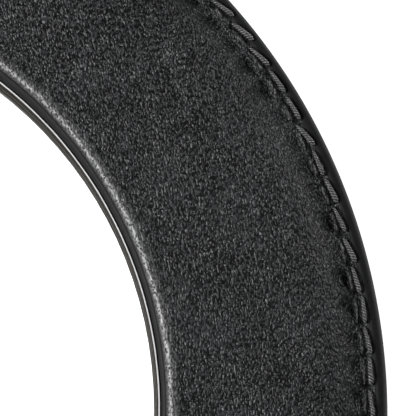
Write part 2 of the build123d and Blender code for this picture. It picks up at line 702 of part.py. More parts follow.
# Gate: closes the loop's open side, with a thinner tongue between the cheeks.
with BuildPart() as gate:
    gate_low = BOWL_Y + NOSE_RISE + GATE_END_GAP
    with BuildSketch(Plane.XY.offset(BAR_Z - GATE_T / 2)):
        with Locations((HOOK_INNER_R, gate_low)):
            Rectangle(GATE_W, GATE_PIN_Y - gate_low, align=(Align.MIN, Align.MIN))
        with Locations((GATE_PIN_X, GATE_PIN_Y)):
            Circle(CHEEK_R + SWIVEL_GAP, mode=Mode.SUBTRACT)
    extrude(amount=GATE_T)
    with BuildSketch(Plane.XY.offset(BAR_Z - GATE_TONGUE_T / 2)):
        with Locations((GATE_PIN_X, GATE_PIN_Y)):
            Circle(GATE_TONGUE_R)
        with Locations((HOOK_INNER_R + SWIVEL_PLAY, GATE_PIN_Y - GATE_TONGUE_R / 2)):
            Rectangle(GATE_W - 2 * SWIVEL_PLAY, GATE_W, align=(Align.MIN, Align.MAX))
    extrude(amount=GATE_TONGUE_T)
    with BuildSketch():
        with Locations((GATE_PIN_X, GATE_PIN_Y)):
            Circle(GATE_PIN_R + GATE_PLAY)
    extrude(amount=COLLAR_TOP, mode=Mode.SUBTRACT)
    with BuildSketch(Plane.XY.offset(BAR_Z - SPRING_POCKET_T / 2)):
        with Locations((GATE_PIN_X, GATE_PIN_Y)):
            Circle(SPRING_POCKET_R)
    extrude(amount=SPRING_POCKET_T, mode=Mode.SUBTRACT)
finish(gate, "gate")

with BuildPart() as gate_pin:
    with BuildSketch(Plane.XY.offset(BAR_Z - HOOK_T / 2)):
        with Locations((GATE_PIN_X, GATE_PIN_Y)):
            Circle(GATE_PIN_R)
    extrude(amount=HOOK_T)
finish(gate_pin, "gate_pin")

# Gate spring: torsion coil round the pin, in the tongue's pocket.
with BuildPart() as spring:
    spring_h = SPRING_TURNS * SPRING_PITCH
    with BuildLine() as coil:
        Helix(
            SPRING_PITCH,
            spring_h,
            SPRING_R,
            center=(GATE_PIN_X, GATE_PIN_Y, BAR_Z - spring_h / 2),
        )
    with BuildSketch(Plane(coil.line @ 0, z_dir=coil.line % 0)):
        Circle(SPRING_WIRE_R)
    sweep(is_frenet=True)
finish(spring, "gate_spring")
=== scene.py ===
"""Saxophone neck strap with a padded crescent collar: the looks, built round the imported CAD.

Lengths are in millimetres, in the part's own frame, until a mesh is made. +Y points to the back of
the neck, the snap hook hangs towards -Y, and the suede side rests on Z = 0.
"""

from math import acos, asin, atan2, cos, hypot, pi, radians, sin, tan

import bmesh
import bpy
import numpy as np
from mathutils import Matrix, Vector


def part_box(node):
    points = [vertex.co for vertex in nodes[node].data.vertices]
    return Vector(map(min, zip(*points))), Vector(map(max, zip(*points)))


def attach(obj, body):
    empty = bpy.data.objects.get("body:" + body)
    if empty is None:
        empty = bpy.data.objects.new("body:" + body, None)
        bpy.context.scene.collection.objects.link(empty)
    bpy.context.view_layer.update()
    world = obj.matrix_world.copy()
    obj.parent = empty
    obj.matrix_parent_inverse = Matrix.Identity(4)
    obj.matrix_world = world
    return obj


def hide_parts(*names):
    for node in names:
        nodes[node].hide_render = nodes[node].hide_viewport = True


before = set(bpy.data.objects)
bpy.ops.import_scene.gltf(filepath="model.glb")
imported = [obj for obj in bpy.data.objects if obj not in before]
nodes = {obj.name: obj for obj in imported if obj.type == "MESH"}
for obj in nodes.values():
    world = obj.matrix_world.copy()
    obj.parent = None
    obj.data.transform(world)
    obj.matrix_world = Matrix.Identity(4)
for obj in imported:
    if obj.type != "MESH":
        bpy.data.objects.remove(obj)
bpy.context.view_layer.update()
MM = 0.001
UP = np.array([0.0, 0.0, 1.0])

# ---- Sizes shared with the CAD ----

NECK_R = 66.0
OUTER_R = 101.0
OUTER_SHIFT = 2.15
LEG_CORNER_R = 3.0
COVER_SETBACK = 1.15
SKIN_T = 1.3
FLANGE_T = 1.5
TONGUE_Z = 5.6
TONGUE_L = 18.0
BEAD_R = 0.44
PLY_T = 1.3
BAR_Z = 3.0
FOLD_GAP = 0.1  # between a bar and the leather that turns round it
FOLD_NECK = 6.2  # bar to where the two plies lie flat
EYE_WIRE_R = 1.4
STITCH_INSET = 2.3
STITCH_PITCH = 4.93
STITCH_L = 4.3
STITCH_TILT = radians(8.0)
STITCH_SETBACK = 7.0
STRAP_W = 13.0
STRAP_BEND_R = 60.0
STRAP_ANGLE = radians(45.0)
STRAP_LEAD = 8.5
CENTRE_DROP = 19.0  # apex of the centre ring's inner triangle to its base bar
DROP_W = 16.0
BILLET_FOLD_L = 16.0
STUD_STRAP_FOLD_L = 14.0
TIP_R = 5.0
KEYHOLE_R = 1.9
SLIT_W = 0.9
SLIT_L = 4.4
KEYHOLE_FIRST = 27.0
KEYHOLE_PITCH = 7.0
KEYHOLE_COUNT = 5
CENTRE_CORNER_R = 3.0
KEEPER_T = 1.2


def box_mm(name):
    """Lowest and highest corner of a CAD node, in millimetres."""
    low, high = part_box(name)
    return [value / MM for value in low], [value / MM for value in high]


# ---- Places that follow from the frame ----

lining_low, lining_high = box_mm("lining_leather")
cover_high = box_mm("cover_leather")[1]
tab_low, tab_high = box_mm("right_tab")
ring_low, ring_high = box_mm("right_ring")
centre_low = box_mm("centre_ring")[0]
billet_low = box_mm("billet_strap")[0]
stud_high = box_mm("stud_strap")[1]
eye_high = box_mm("swivel_eye")[1]
keeper_low, keeper_high = box_mm("keeper_loop")

WIRE_R = (ring_high[2] - ring_low[2]) / 2
FOLD_R = WIRE_R + FOLD_GAP + PLY_T / 2  # middle of the ply that turns round a bar
LEG_END_Y = lining_low[1]
OUTER_Y = lining_high[1] - OUTER_R
NECK_Y = OUTER_Y - OUTER_SHIFT
SEAT_Z = lining_high[2]
FLANGE_Z = SEAT_Z + FLANGE_T
TOP_Z = cover_high[2]
TAB_X = (tab_low[0] + tab_high[0]) / 2
TAB_W = tab_high[0] - tab_low[0]
UPPER_BAR_Y = ring_high[1] - WIRE_R
LOWER_BAR_Y = ring_low[1] + WIRE_R
BASE_BAR_Y = centre_low[1] + WIRE_R
APEX_Y = BASE_BAR_Y + CENTRE_DROP
EYE_Y = eye_high[1] - EYE_WIRE_R

# ---- Small helpers ----


def smooth_step(value, low, high):
    """0 below low, 1 above high, and a smooth rise between them."""
    t = np.clip((value - low) / (high - low), 0, 1)
    return t * t * (3 - 2 * t)


def wave_noise(seed, count, shortest, longest):
    """Function of two millimetre coordinates that sums count seeded waves, about -1 to 1."""
    random = np.random.default_rng(seed)
    lengths = random.uniform(shortest, longest, count)
    turns = random.uniform(0, 2 * pi, count)
    shifts = random.uniform(0, 2 * pi, count)

    def noise(x, y):
        total = 0
        for length, turn, shift in zip(lengths, turns, shifts):
            total = total + np.sin(2 * pi * (x * cos(turn) + y * sin(turn)) / length + shift)
        return total / (count / 2) ** 0.5

    return noise


def add_to_scene(name, data):
    """New object that holds the data."""
    made = bpy.data.objects.new(name, data)
    bpy.context.scene.collection.objects.link(made)
    return made


def make_object(name, points, faces, material, values=None):
    """Smooth mesh object from millimetre points; values are float attributes on its points."""
    mesh = bpy.data.meshes.new(name)
    mesh.from_pydata((np.asarray(points) * MM).tolist(), [], faces)
    for key, numbers in (values or {}).items():
        mesh.attributes.new(key, "FLOAT", "POINT").data.foreach_set(
            "value", np.asarray(numbers, dtype=np.float32).ravel()
        )
    mesh.materials.append(material)
    made = bmesh.new()
    made.from_mesh(mesh)
    bmesh.ops.recalc_face_normals(made, faces=made.faces)
    made.to_mesh(mesh)
    made.free()
    mesh.polygons.foreach_set("use_smooth", [True] * len(mesh.polygons))
    return add_to_scene(name, mesh)


def tube(grid, closed):
    """Points and faces of rings of points; closed joins the last ring to the first."""
    rows, columns = grid.shape[:2]
    faces = [
        (
            row * columns + column,
            row * columns + (column + 1) % columns,
            (row + 1) % rows * columns + (column + 1) % columns,
            (row + 1) % rows * columns + column,
        )
        for row in range(rows if closed else rows - 1)
        for column in range(columns)
    ]
    if not closed:
        end = (rows - 1) * columns
        faces.append(tuple(range(columns - 1, -1, -1)))
        faces.append(tuple(range(end, end + columns)))
    return grid.reshape(-1, 3), faces


def unit(vectors):
    """The same vectors, one unit long."""
    return vectors / np.linalg.norm(vectors, axis=-1, keepdims=True)


def directions(path, closed):
    """Unit direction of travel at each point of a path."""
    if closed:
        return unit(np.roll(path, -1, 0) - np.roll(path, 1, 0))
    return unit(np.gradient(path, axis=0))


def distances(path):
    """Distance of each point of a path from its first point, along the path."""
    return np.concatenate([[0], np.cumsum(np.linalg.norm(np.diff(path, axis=0), axis=1))])


def at_distances(path, wanted):
    """Points of a path at those distances along it."""
    lengths = distances(path)
    return np.column_stack([np.interp(wanted, lengths, axis) for axis in path.T])


def rounded_path(corners, radius, step):
    """Points about a step apart along straight runs joined by arcs, in the XY plane."""
    corners = [np.array(corner, float) for corner in corners]
    path = [corners[0]]
    for before, corner, after in zip(corners, corners[1:], corners[2:]):
        run_in, run_out = unit(corner - before), unit(after - corner)
        turn = acos(float(np.clip(run_in @ run_out, -1, 1)))
        reach = radius * tan(turn / 2)
        start = corner - run_in * reach
        turn_way = np.sign(run_in[0] * run_out[1] - run_in[1] * run_out[0])
        side = np.array([-run_in[1], run_in[0]]) * turn_way
        middle = start + side * radius
        path.append(start)
        for part in np.linspace(0, 1, max(4, int(turn * radius / step)))[1:]:
            reach_along = radius * sin(turn * part)
            path.append(middle - side * radius * cos(turn * part) + run_in * reach_along)
    path.append(corners[-1])
    path = np.array(path)
    length = distances(path)[-1]
    return at_distances(path, np.linspace(0, length, max(4, int(length / step)) + 1))


# ---- Materials ----

COVER_DARK = 0.002  # grey of the valleys between pebbles, darkened as painted shade
COVER_LIGHT = 0.042  # grey of the pebbles, lightened as a painted highlight on their tops
# Grey of the smooth leather by the wall and rim, darkened as painted shade on the wall.
COVER_SMOOTH_AND_SHADE = 0.008
COVER_HIGHLIGHT = 0.48  # grey of the painted highlight on the polished ridge and the stitches' lips
COVER_WARM = -0.06
COVER_ROUGHNESS = 0.33
COVER_GLOSS = 0.30
COVER_GRAIN = 0.31
COVER_STRETCH = 1.8
COVER_RELIEF = 0.175
# Edge leather's greys, kept dark on the collar's wall as painted shade.
EDGE_DARK = 0.004
EDGE_LIGHT = 0.008
# Grey of the painted highlight along the outer rim and of painted light in the wall's foot.
EDGE_PAINTED_LIGHT = 0.2
STRAP_DARK = 0.012
STRAP_LIGHT = 0.034
STRAP_ROUGHNESS = 0.46
STRAP_GRAIN = 0.55
STRAP_STRETCH = 1.3
STRAP_RELIEF = 0.06
THREAD_DARK = 0.004
# Pale of a painted highlight on the black thread's plies.
THREAD_HIGHLIGHT = 0.26
NICKEL_COLOUR = (0.44, 0.42, 0.385, 1)
STEEL_COLOUR = (0.55, 0.55, 0.56, 1)
TARNISH_TONE = 0.62  # tarnished plating's brightness, as a part of the clean plating's


def node(tree, kind, inputs=None, **settings):
    """New shader node; an input given as a socket is linked, and any other is set."""
    made = tree.nodes.new("ShaderNode" + kind)
    for key, value in settings.items():
        setattr(made, key, value)
    for key, value in (inputs or {}).items():
        if isinstance(value, bpy.types.NodeSocket):
            tree.links.new(value, made.inputs[key])
        else:
            made.inputs[key].default_value = value
    return made


def maths(tree, operation, first, second):
    """Result of a sum, product or the like of two values."""
    return node(tree, "Math", {0: first, 1: second}, operation=operation).outputs[0]


def span(tree, value, low, high, new_low, new_high):
    """value moved from the range low to high into the range new_low to new_high."""
    ranges = {"From Min": low, "From Max": high, "To Min": new_low, "To Max": new_high}
    return node(tree, "MapRange", {"Value": value, **ranges}).outputs["Result"]


def blend_colour(tree, factor, first, second):
    """The first colour where factor is 0 and the second where it is 1."""
    mixed = node(tree, "Mix", {0: factor, 6: first, 7: second}, data_type="RGBA")
    return mixed.outputs[2]


def grey(value, warm=0.0):
    """Opaque grey, made warmer or, below 0, cooler."""
    return (value * (1 + warm), value, value * (1 - warm), 1)


def stretched(tree, place, scale, turn=0.0):
    """Coordinates turned about Z, then multiplied by a scale for each axis."""
    inputs = {"Vector": place, "Rotation": (0, 0, turn), "Scale": scale}
    return node(tree, "Mapping", inputs).outputs["Vector"]


def new_material(name, roughness, gloss=0.5, metallic=0.0):
    """Material, its tree, its shader, and its object coordinates in millimetres."""
    material = bpy.data.materials.new(name)
    material.use_nodes = True
    tree = material.node_tree
    shader = tree.nodes["Principled BSDF"]
    shader.inputs["Roughness"].default_value = roughness
    shader.inputs["Specular IOR Level"].default_value = gloss
    shader.inputs["Metallic"].default_value = metallic
    place = stretched(tree, node(tree, "TexCoord").outputs["Object"], (1 / MM,) * 3)
    return material, tree, shader, place


def set_colour(tree, shader, colour):
    """Lets a colour socket paint the shader."""
    tree.links.new(colour, shader.inputs["Base Color"])


def set_bump(tree, shader, height, depth):
    """Bump from a 0 to 1 height that is depth millimetres deep."""
    bump = node(tree, "Bump", {"Height": height, "Distance": depth * MM, "Strength": 1.0})
    tree.links.new(bump.outputs["Normal"], shader.inputs["Normal"])


def noise_texture(tree, place, scale, detail, **settings):
    """Noise from about 0.2 to 0.8, of scale features to a millimetre; detail adds finer ones."""
    inputs = {"Vector": place, "Scale": scale, "Detail": detail, **settings}
    return node(tree, "TexNoise", inputs).outputs["Fac"]


def attribute(tree, name):
    """Value that make_object stored on the mesh under that name."""
    return node(tree, "Attribute", attribute_name=name).outputs["Fac"]


def leather_relief(tree, place, grain, stretch):
    """Height from 0 to 1 of smooth grain about grain millimetres across, drawn out along X."""
    drawn = stretched(tree, place, (1 / stretch, 1, 1))
    grains = noise_texture(tree, drawn, 1 / grain, 0.0, Distortion=0.35)
    return span(tree, grains, 0.2, 0.8, 0.0, 1.0)


def strap_leather():
    """Dyed strap leather whose pebbles are paler than the valleys between them."""
    material, tree, shader, place = new_material("strap_leather", STRAP_ROUGHNESS, 0.5)
    height = leather_relief(tree, place, STRAP_GRAIN, STRAP_STRETCH)
    broad = noise_texture(tree, place, 0.09, 3.0)
    pebbles = span(tree, height, 0.35, 0.85, 0.0, 0.8)
    tone = maths(tree, "ADD", pebbles, span(tree, broad, 0.35, 0.65, -0.2, 0.3))
    colour = blend_colour(tree, tone, grey(STRAP_DARK), grey(STRAP_LIGHT))
    set_colour(tree, shader, colour)
    handled = span(tree, broad, 0.3, 0.7, STRAP_ROUGHNESS - 0.05, STRAP_ROUGHNESS + 0.06)
    tree.links.new(handled, shader.inputs["Roughness"])
    set_bump(tree, shader, height, STRAP_RELIEF)
    return material


def cover_leather():
    """Collar leather: grained field; polished, pitted and painted pale as a highlight on the ridge
    and the stitches' lips; smooth, and darkened as painted shade on the wall, where calm is 1.

    The crease attribute marks where the leather is drawn into fine folds.
    """
    material, tree, shader, place = new_material("cover_leather", COVER_ROUGHNESS, COVER_GLOSS)
    height = leather_relief(tree, place, COVER_GRAIN, COVER_STRETCH)
    polish_and_highlight = attribute(tree, "polish_and_highlight")
    calm = attribute(tree, "calm")
    broad = noise_texture(tree, place, 0.1, 3.0)
    pits = node(tree, "TexVoronoi", {"Vector": place, "Scale": 2.3, "Randomness": 1.0})
    pitted = span(tree, pits.outputs["Distance"], 0.14, 0.44, 0.0, 1.0)
    # Pebble tops lighter and valleys darker: grain tone, with painted highlight and painted shade.
    pebbles = span(tree, height, 0.45, 0.85, 0.0, 1.0)
    tone = maths(tree, "ADD", pebbles, span(tree, broad, 0.35, 0.65, -0.12, 0.12))
    dye_and_shade = blend_colour(tree, tone, grey(COVER_DARK, COVER_WARM), grey(COVER_LIGHT, COVER_WARM))
    # Darker where calm is 1: painted shade on the wall.
    smooth_and_shaded = blend_colour(tree, calm, dye_and_shade, grey(COVER_SMOOTH_AND_SHADE, COVER_WARM))
    streaks = span(tree, height, 0.3, 0.6, 0.35, 1.0)
    # Painted highlight, pale and pitted, on the ridge and the stitches' lips.
    highlight_mask = maths(tree, "MULTIPLY", polish_and_highlight, maths(tree, "MULTIPLY", pitted, streaks))
    painted_light = blend_colour(tree, highlight_mask, smooth_and_shaded, grey(COVER_HIGHLIGHT))
    set_colour(tree, shader, painted_light)
    rubbed = maths(tree, "SUBTRACT", COVER_ROUGHNESS, maths(tree, "MULTIPLY", polish_and_highlight, 0.08))
    flat = maths(tree, "ADD", rubbed, maths(tree, "MULTIPLY", calm, 0.4))
    tree.links.new(flat, shader.inputs["Roughness"])
    drawn = stretched(tree, place, (0.22, 1.1, 1), radians(25))
    folds = noise_texture(tree, drawn, 1.1, 2.0, Distortion=0.6)
    near_folds = maths(tree, "MULTIPLY", attribute(tree, "crease"), 1.1)
    kept = span(tree, maths(tree, "MAXIMUM", calm, polish_and_highlight), 0.0, 1.0, 1.0, 0.2)
    grained = maths(tree, "MULTIPLY", height, kept)
    relief = maths(tree, "ADD", grained, maths(tree, "MULTIPLY", folds, near_folds))
    pinned = maths(tree, "MULTIPLY", maths(tree, "MULTIPLY", pitted, polish_and_highlight), 0.7)
    set_bump(tree, shader, maths(tree, "ADD", relief, pinned), COVER_RELIEF)
    return material


def edge_leather():
    """Smooth matt leather of the collar's wall and rim and of cut edges; its dark greys stand as
    painted shade on the wall, and it is paler as painted light along the rim and the wall's foot.
    """
    material, tree, shader, place = new_material("edge_leather", 0.7, 0.1)
    mottle = noise_texture(tree, place, 0.9, 3.0, Roughness=0.6)
    tone = span(tree, mottle, 0.35, 0.65, 0.0, 1.0)
    dye_and_shade = blend_colour(tree, tone, grey(EDGE_DARK, -0.02), grey(EDGE_LIGHT, 0.02))
    # Paler as painted light along the rim and the wall's foot.
    colour = blend_colour(tree, attribute(tree, "painted_light"), dye_and_shade, grey(EDGE_PAINTED_LIGHT, -0.02))
    set_colour(tree, shader, colour)
    set_bump(tree, shader, mottle, 0.12)
    return material


def suede():
    """Napped lining: short brushed fibres, drab grey-olive."""
    material, tree, shader, place = new_material("lining_suede", 0.95, 0.12)
    brushed = stretched(tree, place, (2.2, 0.8, 1.4))
    nap = noise_texture(tree, brushed, 3.2, 5.0, Roughness=0.7)
    rubbed = span(tree, noise_texture(tree, place, 0.12, 3.0), 0.3, 0.7, -0.1, 0.4)
    tone = maths(tree, "ADD", span(tree, nap, 0.3, 0.7, 0.0, 0.7), rubbed)
    colour = blend_colour(tree, tone, (0.022, 0.0213, 0.018, 1), (0.072, 0.07, 0.06, 1))
    set_colour(tree, shader, colour)
    shader.inputs["Sheen Weight"].default_value = 0.25
    shader.inputs["Sheen Roughness"].default_value = 0.5
    set_bump(tree, shader, nap, 0.09)
    return material


def waxed_thread():
    """Black waxed thread: shiny plies with a painted highlight on their tops, dark grooves between
    them, fine fibres.
    """
    material, tree, shader, place = new_material("waxed_thread", 0.3, 0.9)
    fibres = noise_texture(tree, place, 6.0, 4.0, Distortion=1.2)
    ply = attribute(tree, "ply")
    frayed = span(tree, fibres, 0.3, 0.7, 0.5, 1.0)
    # Painted highlight on the plies' tops, broken up by the fibres.
    raised = maths(tree, "MULTIPLY", span(tree, ply, 0.6, 1.0, 0.0, 1.0), frayed)
    colour = blend_colour(tree, raised, grey(THREAD_DARK), grey(THREAD_HIGHLIGHT))
    set_colour(tree, shader, colour)
    tree.links.new(span(tree, ply, 0.2, 0.8, 0.7, 0.26), shader.inputs["Roughness"])
    set_bump(tree, shader, fibres, 0.06)
    return material


def glazed_piping():
    """Glazed black bead with a fine pale line along its crest, a painted highlight."""
    material, tree, shader, place = new_material("glazed_piping", 0.3, 0.12)
    rough = noise_texture(tree, place, 1.4, 4.0)
    dark = blend_colour(tree, rough, grey(0.01, 0.1), grey(0.04, 0.18))
    highlight_grey = blend_colour(tree, rough, grey(0.8, 0.02), grey(0.95, 0.0))
    # Painted highlight: a pale line along the bead's crest.
    colour = blend_colour(tree, attribute(tree, "crest"), dark, highlight_grey)
    set_colour(tree, shader, colour)
    set_bump(tree, shader, rough, 0.02)
    return material


def plated_metal(name, colour, roughness, scratch):
    """Polished plating with fine scratches and faint tarnish."""
    material, tree, shader, place = new_material(name, roughness, 0.5, 1.0)
    drawn = stretched(tree, place, (0.25, 3.0, 3.0))
    scratches = noise_texture(tree, drawn, 3.0, 5.0, Roughness=0.75)
    tarnish = span(tree, noise_texture(tree, place, 0.3, 4.0), 0.45, 0.75, 0.0, 0.6)
    dull = tuple(channel * TARNISH_TONE for channel in colour[:3]) + (1,)
    set_colour(tree, shader, blend_colour(tree, tarnish, colour, dull))
    rubbed = span(tree, scratches, 0.3, 0.7, roughness, roughness + scratch)
    tree.links.new(rubbed, shader.inputs["Roughness"])
    set_bump(tree, shader, scratches, 0.008)
    return material


def foam():
    """Open-cell padding."""
    material, tree, shader, place = new_material("padding_foam", 0.9, 0.2)
    cells = node(tree, "TexVoronoi", {"Vector": place, "Scale": 2.2}).outputs["Distance"]
    colour = blend_colour(tree, cells, (0.2, 0.2, 0.21, 1), (0.42, 0.42, 0.4, 1))
    set_colour(tree, shader, colour)
    set_bump(tree, shader, cells, 0.15)
    return material


def fibreboard():
    """Stiffener sheet: pressed fibres."""
    material, tree, shader, place = new_material("fibreboard", 0.8, 0.3)
    fibres = noise_texture(tree, place, 1.6, 5.0, Distortion=2.0)
    colour = blend_colour(tree, fibres, (0.09, 0.075, 0.055, 1), (0.3, 0.25, 0.18, 1))
    set_colour(tree, shader, colour)
    set_bump(tree, shader, fibres, 0.05)
    return material


cover_material = cover_leather()
edge_material = edge_leather()
strap_material = strap_leather()
suede_material = suede()
thread_material = waxed_thread()
piping_material = glazed_piping()
nickel = plated_metal("nickel", NICKEL_COLOUR, roughness=0.22, scratch=0.16)
spring_steel = plated_metal("spring_steel", STEEL_COLOUR, roughness=0.28, scratch=0.16)
foam_material = foam()
board_material = fibreboard()

# ---- Collar ----

# The cover's outer face is a grid. Its rows run from the neck edge to the outer edge, over the wall,
# the ridge, the field, the ramp, the flat flange and the rim.
ROWS = 760
WALL_SAMPLES = 20
FIELD_SAMPLES = 44
RAMP_SAMPLES = 26
FLANGE_SAMPLES = 24
RIM_SAMPLES = 6
INSIDE_SAMPLES = 14

# Section across the band
WALL_LEAN = 0.72
ROLL_R = 1.5  # the ridge's rounding, along the band's width
ROLL_H = 0.27  # and upwards, as a part of the full height
RIDGE_REACH = 4.6  # wall's foot to where the field starts
FOOT_DRIFT = 0.35  # how much further the wall stands back away from the back of the neck
FIELD_FULL = 0.965  # height of the field's edges, as a part of the full height
CROWN = 0.035  # how far the middle of the field bulges, as a part of the height
CROWN_DROP = 0.25  # room for bulge and wrinkles between the full height and the CAD's top
SWELL_REACH = 13.0  # outer edge to where the padding is full
SWELL_FOOT = 3.9  # outer edge to where the padding starts
FLANGE_W = 4.3  # outer edge to where the flange's finer samples start
RIM_W = 0.55  # outer edge to where the rim's rounding starts
LEG_BLEND = 9.0  # legs' ends to where the corners' rounding has faded
THIN = 0.02  # gap that keeps faces from touching

# Saddle stitching
ROW_SHIFT = 0.33  # row further in than the CAD's at the back of the neck
ROW_DRIFT = 0.85  # and this much further out beyond it
PUCKER_REACH = 7.4  # outer edge to where the puckers fade
PUCKER_D = 0.62
PUCKER_BASE = 0.12  # depth between the puckers
PUCKER_SLANT = 0.45  # puckers' lean along the seam, for each millimetre inwards
GROOVE_D = 0.28
HOLE_D = 0.55
LIP_H = 0.34
LIP_AT = 0.85  # stitch row to the lip of leather beside it
STITCH_SPARE = 0.25  # drawn stitches are this much longer than the CAD's
THREAD_R = 0.42
THREAD_RISE = 0.42  # how far a stitch's middle rises over its ends
THREAD_SINK = 0.16  # stitches' ends below the flange's face
THREAD_PLIES = 3
PLY_GROOVE = 0.3  # depth of the grooves between plies, as a part of the thread's radius
THREAD_TAPER = 0.24  # how much thinner one end of a stitch is than its middle

# Bead along the neck edge
BEAD_ROWS = 640
BEAD_DRIFT = 0.25  # how much further it lies from the neck's centre away from the back
BEAD_LIP_TURN = 0.32 * pi  # where the bead's raised line is, from the wall side upwards
BEAD_LIP_H = 0.3  # as a part of the bead's radius

straight_leg = NECK_Y - LEG_END_Y
leg_dip = asin((OUTER_Y - LEG_END_Y) / OUTER_R)
inner_length = 2 * straight_leg + pi * NECK_R
outer_length = OUTER_R * (pi + 2 * leg_dip)
stitch_r = OUTER_R - STITCH_INSET
stitch_dip = asin((OUTER_Y - LEG_END_Y - STITCH_SETBACK) / stitch_r)
stitch_gaps = round((pi + 2 * stitch_dip) * stitch_r / STITCH_PITCH)


def leg_drop(run, leg, length):
    """How far a U-shaped line drops below its arc, at distance run, where each leg is leg long."""
    return np.minimum(run, leg) - leg + np.minimum(0, length - leg - run)


def inner_edge(part):
    """Point of the neck edge at that part of its length, from the right leg round to the left."""
    run = part * inner_length
    angle = np.clip((run - straight_leg) / NECK_R, 0, pi)
    y = NECK_Y + NECK_R * np.sin(angle) + leg_drop(run, straight_leg, inner_length)
    return np.stack([NECK_R * np.cos(angle), y], -1)


def outer_edge(part):
    """Point of the outer edge at that part of its length, in the same direction."""
    angle = part * outer_length / OUTER_R - leg_dip
    return np.stack([OUTER_R * np.cos(angle), OUTER_Y + OUTER_R * np.sin(angle)], -1)


def stitch_inset(angle):
    """Outer edge to the stitch row, which drifts outwards away from the back of the neck."""
    return STITCH_INSET + ROW_SHIFT - ROW_DRIFT * smooth_step(np.abs(angle - pi / 2), 0.1, 0.68)


def corner_lift(gap):
    """How far a rounded leg corner starts above the leg's end, gap inside either edge."""
    inside = np.clip(LEG_CORNER_R - gap, 0, LEG_CORNER_R)
    return LEG_CORNER_R - np.sqrt(LEG_CORNER_R**2 - inside**2)


def wall_curve():
    """Neck-side wall and ridge: distance past the wall's foot, and fullness from 0 to 1."""
    wall = np.linspace(0, 1, WALL_SAMPLES // 4 + 1)[:-1]
    roll = np.linspace(0, pi / 2, WALL_SAMPLES - len(wall) - 2)
    brow_gap = WALL_LEAN + ROLL_R * (1 - np.cos(roll))
    brow_full = 1 - ROLL_H * (1 - np.sin(roll))
    gap = np.concatenate([wall * WALL_LEAN, brow_gap, [RIDGE_REACH - 1.3, RIDGE_REACH]])
    full = np.concatenate([wall * (1 - ROLL_H), brow_full, [0.985, FIELD_FULL]])
    return gap, full


def band_plan():
    """Plan of the cover's outer face: x, y, distance across the band, wall's foot, band width."""
    part = np.linspace(0, 1, ROWS)[:, None]
    inner = inner_edge(part[:, 0])
    outer = outer_edge(part[:, 0])
    width = np.linalg.norm(outer - inner, axis=1)[:, None]
    turn = np.abs(part - 0.5) * inner_length / NECK_R
    foot = COVER_SETBACK + FOOT_DRIFT * smooth_step(turn, 0.3, 1.0)
    field_w = width - SWELL_REACH - foot - RIDGE_REACH
    field = np.linspace(0, 1, FIELD_SAMPLES + 1)[1:] * field_w
    ramp = np.linspace(SWELL_REACH, FLANGE_W, RAMP_SAMPLES + 1)[1:]
    flange = np.linspace(FLANGE_W, RIM_W, FLANGE_SAMPLES + 1)[1:]
    rim = RIM_W * (1 - np.sin(rim_turns()))
    wall_side = foot + wall_curve()[0][None, :]
    outer_side = width - np.concatenate([ramp, flange, rim])[None, :]
    across = np.concatenate([wall_side, foot + RIDGE_REACH + field, outer_side], axis=1)
    place = inner[:, None, :] + (outer - inner)[:, None, :] * (across / width)[:, :, None]
    return place[..., 0], place[..., 1], across, foot, width


def rim_turns():
    """Angles round the rim's quarter circle, past its start."""
    return np.linspace(0, pi / 2, RIM_SAMPLES + 1)[1:]


def sewing(x, y, from_outer):
    """What the saddle stitches do to the leather: its change in height, and the lips beside them."""
    angle = np.arctan2(y - OUTER_Y, x)
    angle = np.where(angle < -pi / 2, angle + 2 * pi, angle)
    beat = (angle + stitch_dip) / (pi + 2 * stitch_dip) * stitch_gaps
    after_first = smooth_step(beat, -0.6, -0.4)
    after_last = smooth_step(beat, stitch_gaps + 0.4, stitch_gaps + 0.6)
    sewn = after_first * (1 - after_last)
    slant = PUCKER_SLANT * (from_outer - 4.0) / STITCH_PITCH
    slack = 0.5 + 0.5 * np.cos(2 * pi * (beat - slant))  # 1 beside a stitch's middle
    near_row = smooth_step(from_outer, 3.6, 4.4) * (1 - smooth_step(from_outer, 4.6, PUCKER_REACH))
    uneven = 1 + 0.45 * wave_noise(5, 9, 6, 19)(x, y)
    pucker = near_row * (PUCKER_D * slack * uneven + PUCKER_BASE)
    from_row = from_outer - stitch_inset(angle)
    groove = GROOVE_D * np.exp(-(from_row**4))
    from_hole = (beat - np.floor(beat) - 0.5) * STITCH_PITCH
    hole = HOLE_D * np.exp(-(((from_row - 0.3) / 0.55) ** 2)) * np.exp(-((from_hole / 0.5) ** 2))
    lip = np.exp(-(((from_row - LIP_AT) / 0.3) ** 2)) * smooth_step(slack, 0.15, 0.6)
    lip_h = LIP_H * lip * (1 + 0.3 * wave_noise(37, 9, 0.9, 2.4)(x, y))
    return sewn * (lip_h - pucker - groove - hole), sewn * lip


